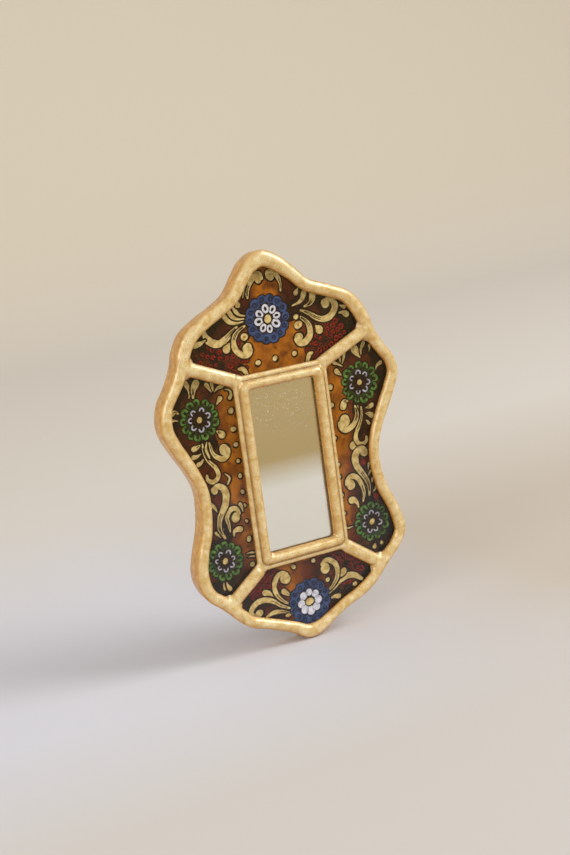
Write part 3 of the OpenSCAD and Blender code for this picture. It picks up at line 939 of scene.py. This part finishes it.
bottom.red_flower(-20, -46.6, 6, below_spokes)
bottom.red_flower(19.5, -47.6, 7, below_spokes)
bottom.scroll([(-10, -61.4), (-13.6, -60), (-17, -59.5), (-20.4, -60.4)], 1.8)
bottom.scroll([(-9.6, -62.4), (-11.6, -62.4)], 1.6)
bottom.scroll([(-9.6, -59.6), (-13.5, -57.4), (-16.4, -54.9), (-19.6, -53.3), (-23, -53.1), (-26, -54.6),
               (-27.4, -57), (-25.6, -58.9)], 2.4, (-23.6, -58, 1.5))
bottom.spoon([(-16.2, -52.4), (-18, -50.9), (-19.9, -50.1)], 2.5)
bottom.scroll([(-9, -58), (-12, -55.9), (-14.3, -53), (-15.3, -50), (-14.8, -47), (-12.9, -44.6),
               (-10.6, -43.9), (-8.8, -44.8)], 2.2, (-9.9, -46.7, 2.1))
bottom.spoon([(-8.2, -54.4), (-9.8, -53.2), (-11.3, -51.8)], 2.3, vein=True)
bottom.spoon([(9.6, -60.6), (12, -60.3), (14, -60.6)], 2)
bottom.dot(22.4, -57.4, 0.9)
bottom.scroll([(9.4, -58.2), (12.6, -56), (15.6, -53.9), (19.2, -52.9), (22.8, -53.6), (26, -56)], 2.8)
bottom.spoon([(14.6, -52.6), (17, -51.6), (17.9, -50.4)], 2.6)
bottom.scroll([(9, -57), (11.8, -55.4), (14.1, -52.6), (15, -49.4), (14.3, -46.3), (12, -44.2), (9.6, -43.8),
               (7.9, -45)], 2.3, (9.3, -47, 2.2))
bottom.dot(9.8, -52.2, 0.9)
bottom.dot(-5.4, -42.6, 0.9)
bottom.dot(4.1, -42.4, 0.9)
bottom.blue_flower(0.1, -59.2, 10, filled=True)
bottom.finish("bottom")

# Left panel: a green rosette at each end and scrolls between them, with a row of dots next to the
# mirror frame, all put on with a small brush.
left = Picture(3)
left.band([[-34, 16, 3], [-35.6, 18.5, 4]], "line")
left.band([[-33.6, -19, 2], [-33.8, -23, 3]], "line")
for z, size in ((27.8, 1.1), (20.2, 1), (13.8, 0.9), (7, 0.8), (0.8, 0.8), (-5.9, 0.8), (-11.7, 0.8),
                (-18.3, 0.6), (-25.8, 1), (-36.7, 1)):
    left.dot(-23.6, z, size)
for points, width in (
        ([(-40.8, 36.4), (-40.2, 39.2), (-41.6, 42.6)], 2.1),
        ([(-39.1, 36.2), (-38.5, 39.2), (-37, 41.6)], 3.1),
        ([(-31, 37), (-31.6, 38.4), (-32.7, 40.2)], 1.8), ([(-30.2, 37), (-30.2, 38.4), (-30.4, 40.2)], 1.4),
        ([(-29.6, 36.8), (-28.2, 37.8), (-26, 38.4)], 1.6), ([(-46.4, 31.2), (-47.8, 32), (-50, 31.4)], 2.3),
        ([(-47, 28.4), (-48.6, 28.9), (-50.4, 28.8)], 1.3),
        ([(-29.3, 31.5), (-28.4, 32.6), (-27.6, 33.6)], 2),
        ([(-24.8, 36.8), (-22.9, 36), (-22.6, 34.2), (-23.4, 33)], 1.5),
        ([(-31, 20.8), (-29.8, 20), (-29, 19)], 2.8), ([(-38.8, 16.8), (-40.4, 16.2), (-42, 15.8)], 2.2),
        ([(-39.4, 13.2), (-41, 12.6), (-42.6, 12.6)], 2), ([(-38.6, 10.8), (-39.6, 9.8), (-41, 9.2)], 1.8),
        ([(-36, -11.4), (-36.8, -9.6), (-38.2, -8)], 1.8),
        ([(-36, -22.4), (-36.8, -21.2), (-37.8, -20)], 1.1),
        ([(-24.6, -14), (-24.8, -12.4), (-25.4, -10.8)], 1.6),
        ([(-30, -23), (-29.6, -21.4), (-28.2, -20.8), (-26.8, -21)], 2.4),
        ([(-37.4, -41.2), (-37.6, -42.6), (-37.4, -44)], 0.9),
        ([(-36.2, -41.4), (-35.8, -43), (-35, -44.4)], 1.8),
        ([(-25.6, -31.9), (-24, -31.7), (-22.4, -32.1)], 0.8),
        ([(-25, -33.4), (-23.6, -33.3), (-22.4, -33.6)], 0.7)):
    left.spoon(points, width, vein=width > 2 and points[0][1] > 10)
left.scroll([(-30.2, 3.2), (-28.4, 1), (-29.6, -1.4)], 0.8)
left.scroll([(-38, 17), (-37.8, 13), (-36.4, 9.6), (-34, 6.6), (-33, 3.6), (-33.9, 1.6), (-36, 0.9),
             (-37.9, 2.2), (-38, 4)], 1.9)
left.scroll([(-36, 17.4), (-36.8, 14.6), (-35.8, 10.8)], 1)
left.scroll([(-35, 16.8), (-34.2, 12.6), (-32.2, 10.2), (-29.8, 9.2), (-27.6, 10.6), (-26.9, 12.6)], 2.2,
            (-29, 12.9, 2.1))
left.scroll([(-34.3, -20), (-34.6, -16.5), (-34, -13.6)], 1)
left.scroll([(-31.4, -21), (-31.6, -18), (-32, -15), (-30.8, -12.8), (-29, -11.8), (-27.2, -12.5),
             (-26.2, -14.4)], 2.1, (-28, -15.6, 1.8))
left.scroll([(-34, -23), (-35.8, -19), (-35.2, -15), (-33.5, -12), (-31.7, -9), (-31, -5.6), (-31.8, -2.7),
             (-34, -1.3), (-35.8, -1.8)], 3, (-35.8, -2.7, 1.3))
left.green_flower(-37.7, 26.9, 8.7)
left.green_flower(-35.4, -32.4, 8)
left.finish("left")

# Right panel: the same plan as the left one, painted by hand again, so its strokes are placed a
# little otherwise. Two red dabs lie between its scrolls.
right = Picture(4)
right.band([[34, 16, 2.5], [35.4, 18.6, 3.6]], "line")
right.band([[34, -19, 2.2], [34, -23.4, 3.4]], "line")
for x, z, size in ((22.7, 28.2, 1.1), (22, 20.7, 1), (21.7, 6.6, 0.8), (21.8, -5, 0.8), (21.6, -10, 0.7),
                   (21.6, -18, 0.8), (21.6, -26, 0.8)):
    right.dot(x, z, size)
for points, width in (
        ([(38.2, 38), (37.4, 39.6), (36.1, 41.7)], 3.4), ([(39, 39), (39.3, 41), (40.7, 43.4)], 1.7),
        ([(43, 39.4), (43.5, 40.6), (43.4, 41.8)], 1), ([(29.6, 36.8), (30.6, 39), (31.2, 41.4)], 1.4),
        ([(28.8, 37.6), (28.7, 39.2), (28.4, 40.4)], 1.3), ([(29.6, 35.6), (27.8, 36.8), (25.6, 37.8)], 1.2),
        ([(28.4, 32.2), (27.4, 33.2), (26.4, 34.2)], 2.2), ([(29.9, 20.8), (28.4, 20.8), (27.5, 18.9)], 2.9),
        ([(45, 30.9), (46, 32.8), (47.9, 33.8)], 1.6), ([(38.4, 16.2), (39.8, 16.2), (41.2, 16.8)], 2.1),
        ([(38, 13.8), (39.2, 13.4), (40.4, 12.6)], 2.3), ([(37.6, 11), (38.2, 10.4), (38.8, 9.4)], 1.4),
        ([(31.6, 0.2), (30.8, 0.9), (30.1, 1.5)], 3.8), ([(35.8, -10), (36, -8.8), (36.3, -7.6)], 1),
        ([(35.4, -12.8), (36, -11.8), (36.6, -11)], 1.2), ([(36.6, -16), (37, -15.2), (37.2, -14.4)], 1.2),
        ([(36.8, -20), (37.8, -19.2), (38.8, -18)], 1.3),
        ([(28.8, -25), (28.4, -22.9), (27.2, -21.6), (26, -21.3)], 2.9),
        ([(25, -32.6), (23.4, -32.8), (21.6, -32.6)], 0.9), ([(34.6, -42.6), (34.2, -43.8)], 1.9),
        ([(37.6, -42), (37.9, -43)], 1.5)):
    right.spoon(points, width, vein=1.9 < width < 3.2 and points[0][1] > 10)
right.scroll([(36, 17), (35.8, 13.6), (34.4, 10.2), (32.4, 7), (31.6, 4.4), (32.6, 2), (34.8, 1.3),
              (36.6, 2.4), (36.8, 4)], 1.9)
right.scroll([(34.4, 18), (34.2, 15)], 0.9)
right.scroll([(33.2, 18), (33.6, 14.6), (32.4, 11.6), (30.4, 9.7), (27.6, 8.9), (25.4, 10.2),
              (24.7, 12.3)], 2.5, (27.4, 12.9, 2.5))
right.scroll([(33.8, -20), (34, -17), (33.2, -14)], 0.9)
right.scroll([(31.4, -23), (32.3, -19.8), (32, -16.8), (31, -14), (29.5, -12), (27.4, -11.2), (25.3, -12.2),
              (24.4, -14)], 2.3, (26.5, -14.6, 2))
right.scroll([(34.8, -21), (35.1, -16.8), (33.8, -13), (31.7, -9.6), (30.2, -6.4), (30.3, -3), (32.2, -0.8),
              (34.4, -0.7), (35.6, -1.8)], 3.1, (34.6, -2.6, 1.4))
right.spot(33.7, -6.4, 1.1, "red")
right.spot(38, -22.4, 1.2, "red")
right.green_flower(36.7, 27.5, 9)
right.green_flower(34.5, -32.7, 8.5)
right.finish("right")

# Back board: a thin board of pressed wood fibre, sawn to the shape of the rim's pocket. It closes
# the back and carries the glass, and the tongues of the rails and spokes stand on it.
back_depth = 7.6
fibre = Look("pressed_fibre")
tone = fibre.blend(fibre.patches(60, 3, 0.35, 0.65), (0.56, 0.41, 0.27), (0.5, 0.35, 0.22))
flecks = fibre.patches(3200, 4, 0.4, 0.66, 0, 0.6, squash=(1, 1, 0.5))
fibre.shade(Base_Color=fibre.blend(flecks, tone, (0.66, 0.52, 0.36)), Roughness=0.8)
fibre.bumps((0.3, 0.05, 1500, 3))
finish_node("back_board", fibre.material)

# Pins: eight steel brads that are driven into the rim's wall and lie on the board. They keep it
# from falling out.
pin_radius = 0.45
pin_gap = 0.04
pin_rows = (4, 11, 19, 24)
pin_reaches = (-1, 1.5, 4)


def wire_tree():
    """Nodes that turn lines into round wire with closed ends."""
    net = new_tree("wire", [("Wire radius", "Float"), ("Metal", "Material")])
    given = net.add("NodeGroupInput").outputs
    curve = net.made("GeometryNodeMeshToCurve", Mesh=given["Geometry"])
    ring = net.made("GeometryNodeCurvePrimitiveCircle", Resolution=20, Radius=given["Wire radius"])
    wire = net.made("GeometryNodeCurveToMesh", Curve=curve, Profile_Curve=ring, Fill_Caps=True)
    return end_tree(net, wire, given["Metal"])


wire_nodes = wire_tree()


def wire_piece(name, points, edges, radius, metal):
    """A piece of round wire along the given lines, in millimetres."""
    lines = bpy.data.meshes.new(name + " lines")
    lines.from_pydata([tuple(c * mm for c in p) for p in points], edges, [])
    made = grown(lines, wire_nodes, {"Wire radius": radius * mm, "Metal": metal})
    made.shade_smooth()
    made.set_sharp_from_angle(angle=math.radians(50))
    return add_object(name, made)


def metal_paint(name, bright, dull, roughness):
    """Bare metal with finger marks and a little tarnish."""
    look = Look(name)
    tarnish = look.patches(500, 4, 0.42, 0.68)
    look.shade(Base_Color=look.blend(tarnish, bright, dull), Metallic=1,
               Roughness=look.patches(900, 3, 0.3, 0.7, roughness, roughness + 0.2))
    return look.material


steel = metal_paint("steel", (0.66, 0.66, 0.67), (0.42, 0.39, 0.37), 0.3)
points = []
for row in pin_rows:
    for ring in (row * line_steps, rings - row * line_steps):
        x, z, width = rim_path[ring]
        for reach in pin_reaches:
            inset = width - rim_lap + reach
            points.append((x + inset * inward[ring][0], back_depth + pin_radius + pin_gap - rim_depth,
                           z + inset * inward[ring][1]))
per_pin = len(pin_reaches)
edges = [(k, k + 1) for k in range(len(points) - 1) if k % per_pin < per_pin - 1]
pins = wire_piece("pins", points, edges, pin_radius, steel)
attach(pins, "frame")
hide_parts("board_pins")

# Hanger: a stamped brass strap with a rolled knuckle, held by two slotted brass screws, and a
# brass wire ring that swings in the knuckle.
brass = metal_paint("brass", (0.86, 0.7, 0.4), (0.62, 0.45, 0.22), 0.28)


def softened(name, node, width, material):
    """A copy of a CAD node with small round edges."""
    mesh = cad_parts[node].data.copy()
    shape = bmesh.new()
    shape.from_mesh(mesh)
    bmesh.ops.remove_doubles(shape, verts=shape.verts, dist=1e-6)
    bmesh.ops.dissolve_limit(shape, angle_limit=math.radians(1), verts=shape.verts, edges=shape.edges)
    limit = math.radians(40)
    sharp = [edge for edge in shape.edges if edge.is_manifold and edge.calc_face_angle() > limit]
    bmesh.ops.bevel(shape, geom=sharp, offset=width * mm, segments=3, profile=0.5, affect="EDGES",
                    clamp_overlap=True)
    shape.to_mesh(mesh)
    shape.free()
    mesh.materials.clear()
    mesh.materials.append(material)
    mesh.polygons.foreach_set("material_index", [0] * len(mesh.polygons))
    mesh.shade_smooth()
    mesh.set_sharp_from_angle(angle=limit)
    piece = add_object(name, mesh)
    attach(piece, "frame")
    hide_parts(node)


strap_edge, screw_edge = 0.15, 0.08
softened("strap", "hanger_strap", strap_edge, brass)
softened("screws", "hanger_screws", screw_edge, brass)
knuckle_radius = 1.25
pivot_y, pivot_z = back_depth - rim_depth + knuckle_radius, 54
half_ring, ring_side, ring_bend, wire_radius = 4.8, 2.4, 0.5, 0.6
bend_points, bow_points = 6, 40
ring_lean = math.radians(4.78)
path = []
for side in (1, -1):
    path += [(side * (half_ring - ring_bend + ring_bend * math.sin(a)), ring_bend - ring_bend * math.cos(a))
             for a in np.linspace(0, math.pi / 2, bend_points)][::side]
    if side > 0:
        path += [(half_ring * math.cos(a), ring_side + half_ring * math.sin(a))
                 for a in np.linspace(0, math.pi, bow_points)]
points = [(x, pivot_y - z * math.sin(ring_lean), pivot_z + z * math.cos(ring_lean)) for x, z in path]
edges = [(k, (k + 1) % len(points)) for k in range(len(points))]
ring_piece = wire_piece("ring", points, edges, wire_radius, brass)
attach(ring_piece, "ring")
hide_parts("hanger_ring")

# Stage: a pale cloth that lies on the floor and turns up behind the mirror, soft light from a window on the
# right and a weaker one on the left, and the camera. The cloth is a darker ochre in front, where the
# mirror's upper half shows it: partly the tan colour and partly painted shade of the dim room in front of
# the mirror.
floor_z = cad_box[0][2]
floor_front, wall_y, wall_top, half_width = -2.2, 0.9, 2.4, 3
bend, cloth_steps = 0.5, 24
profile = [(floor_front, 0)] + [(wall_y + bend * math.sin(a), bend - bend * math.cos(a))
                                for a in np.linspace(0, math.pi / 2, cloth_steps)]
profile.append((wall_y + bend, wall_top))
points = [(x / mm, y / mm, z / mm + floor_z / mm) for x in (-half_width, half_width) for y, z in profile]
count = len(profile)
cloth = add_piece("cloth", points, [(k, k + count, k + count + 1, k + 1) for k in range(count - 1)])
cloth_look = Look("cloth")
tone = cloth_look.blend(cloth_look.span(cloth_look.along("X"), -0.02, 0.12), (0.85, 0.85, 0.88),
                        (0.8, 0.76, 0.71))
# Each row is where a zone starts and where it is full, along Y, and its colour.
# The third row, the darker ochre in front, is partly the tan colour and partly painted shade of the dim room
# that the mirror shows.
for start, full, shade in ((0.1, 0.3, (0.87, 0.85, 0.82)), (-0.03, -0.12, (0.83, 0.81, 0.79)),
                           (-0.25, -0.32, (0.66, 0.57, 0.4)), (0.9, 1.2, (0.88, 0.84, 0.77))):
    tone = cloth_look.blend(cloth_look.span(cloth_look.along("Y"), start, full), tone, shade)
cloth_look.shade(Base_Color=tone, Roughness=0.9, Specular_IOR_Level=0.1)
cloth.data.materials.append(cloth_look.material)

world = bpy.data.worlds.new("room")
world.use_nodes = True
background = world.node_tree.nodes["Background"]
Nodes(world.node_tree).fill(background, Color=colour(0.94, 0.93, 0.915), Strength=0.76)
bpy.context.scene.world = world


def lamp(name, place, size, power):
    """A round soft lamp that shines at the middle of the mirror."""
    light = bpy.data.lights.new(name, "AREA")
    light.shape = "DISK"
    light.size = size
    light.energy = power
    lamp_object = add_object(name, light)
    lamp_object.location = place
    lamp_object.rotation_euler = (-Vector(place)).to_track_quat("-Z", "Y").to_euler()


lamp("window", (1.2, -0.7, 0.95), 0.9, 14)
lamp("fill", (-1.3, -0.9, 0.6), 1.2, 8)

camera_place = Vector((-0.26815, -0.5447, 0.1379))
camera_aim = Vector((-0.0019, -0.0106, 0.01646))
camera_roll = 7.66
photo_height = 855
focal_length = 1500
camera = bpy.data.cameras.new("camera")
camera.sensor_fit = "VERTICAL"
camera.sensor_height = 24
camera.lens = focal_length / photo_height * camera.sensor_height
camera_object = add_object("camera", camera)
turn = (camera_aim - camera_place).to_track_quat("-Z", "Y").to_matrix()
camera_object.matrix_world = turn.to_4x4()
camera_object.rotation_euler.rotate_axis("Z", math.radians(-camera_roll))
camera_object.location = camera_place
bpy.context.scene.camera = camera_object
bpy.context.scene.view_settings.view_transform = "Standard"
